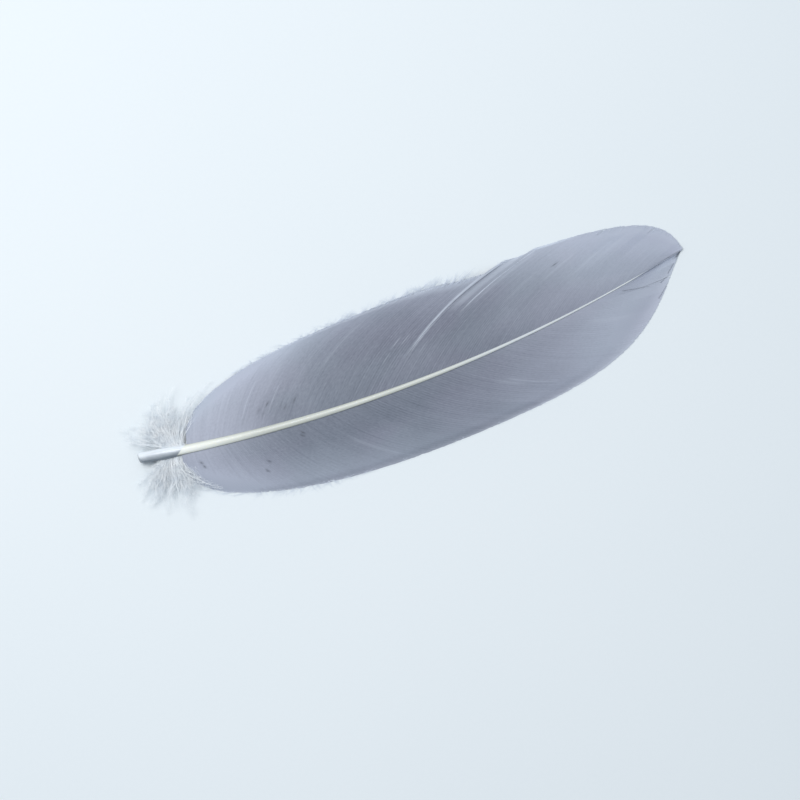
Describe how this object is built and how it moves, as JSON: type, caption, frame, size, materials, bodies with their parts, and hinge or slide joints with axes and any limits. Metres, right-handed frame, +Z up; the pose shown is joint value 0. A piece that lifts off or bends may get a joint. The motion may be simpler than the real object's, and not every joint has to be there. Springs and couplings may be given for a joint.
{
  "type": "feather",
  "caption": "A smoke-grey goose feather with a pale arched shaft, a blunt quill end, two uneven curved vanes with small splits, and tufts of down at its base.",
  "frame": {"origin": "the centre of the feather's box, on the surface that it lies on", "axes": "+X runs along the feather from the quill end to the tip, +Y points to the side of the broad inner vane, and +Z is up, out of the back of the feather"},
  "size_m": [0.1758, 0.0468, 0.0108],
  "materials": {
    "shaft_keratin": "satin",
    "vane_barbs": "satin",
    "down": "matte"
  },
  "bodies": {
    "root": {"shaft": "shaft_keratin", "inner_vane": "vane_barbs", "outer_vane": "vane_barbs", "inner_down": "down", "outer_down": "down"}
  },
  "joints": []
}
